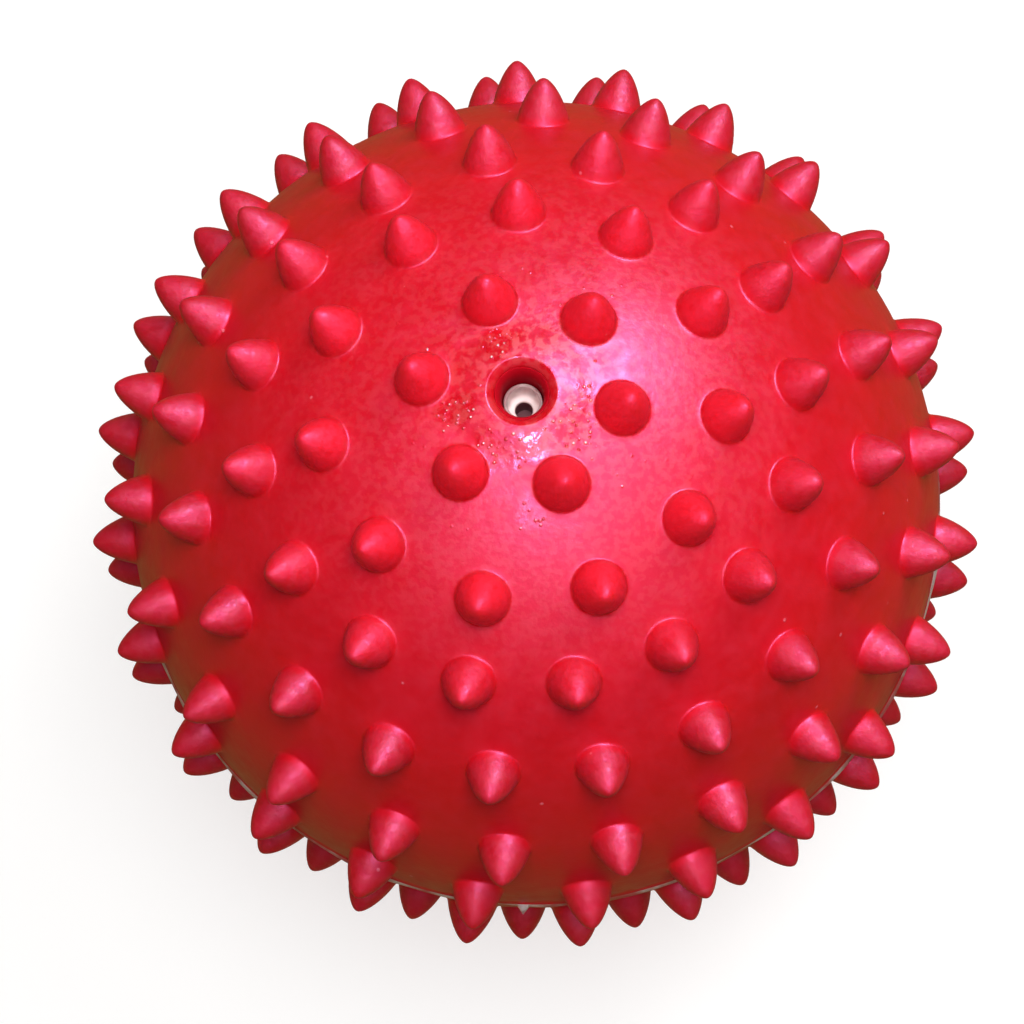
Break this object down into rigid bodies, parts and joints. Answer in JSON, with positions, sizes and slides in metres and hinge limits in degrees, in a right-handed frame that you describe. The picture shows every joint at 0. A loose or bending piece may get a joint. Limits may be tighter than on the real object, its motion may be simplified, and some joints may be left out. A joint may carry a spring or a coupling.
{
  "type": "spiky massage ball",
  "caption": "Hollow red soft-plastic massage ball covered in rings of blunt spikes, with a white needle-valve core pressed into a funnel-mouthed valve housing at one pole.",
  "frame": {"origin": "centre of the ball", "axes": "+Z along the valve axis, out of the valve mouth; +X through a spike of the ring beside the parting line"},
  "size_m": [0.0994, 0.0994, 0.0974],
  "materials": {
    "ball_skin": "glossy soft red PVC",
    "valve_housing": "satin soft red PVC",
    "valve_core": "satin white rubber"
  },
  "bodies": {
    "ball": {"ball_skin": "ball_skin", "valve_housing": "valve_housing"},
    "core": {"valve_core": "valve_core"}
  },
  "joints": [
    {"name": "core_pull", "type": "slide", "parent": "ball", "child": "core", "axis": [0, 0, 1], "range_m": [0, 0.016]}
  ]
}
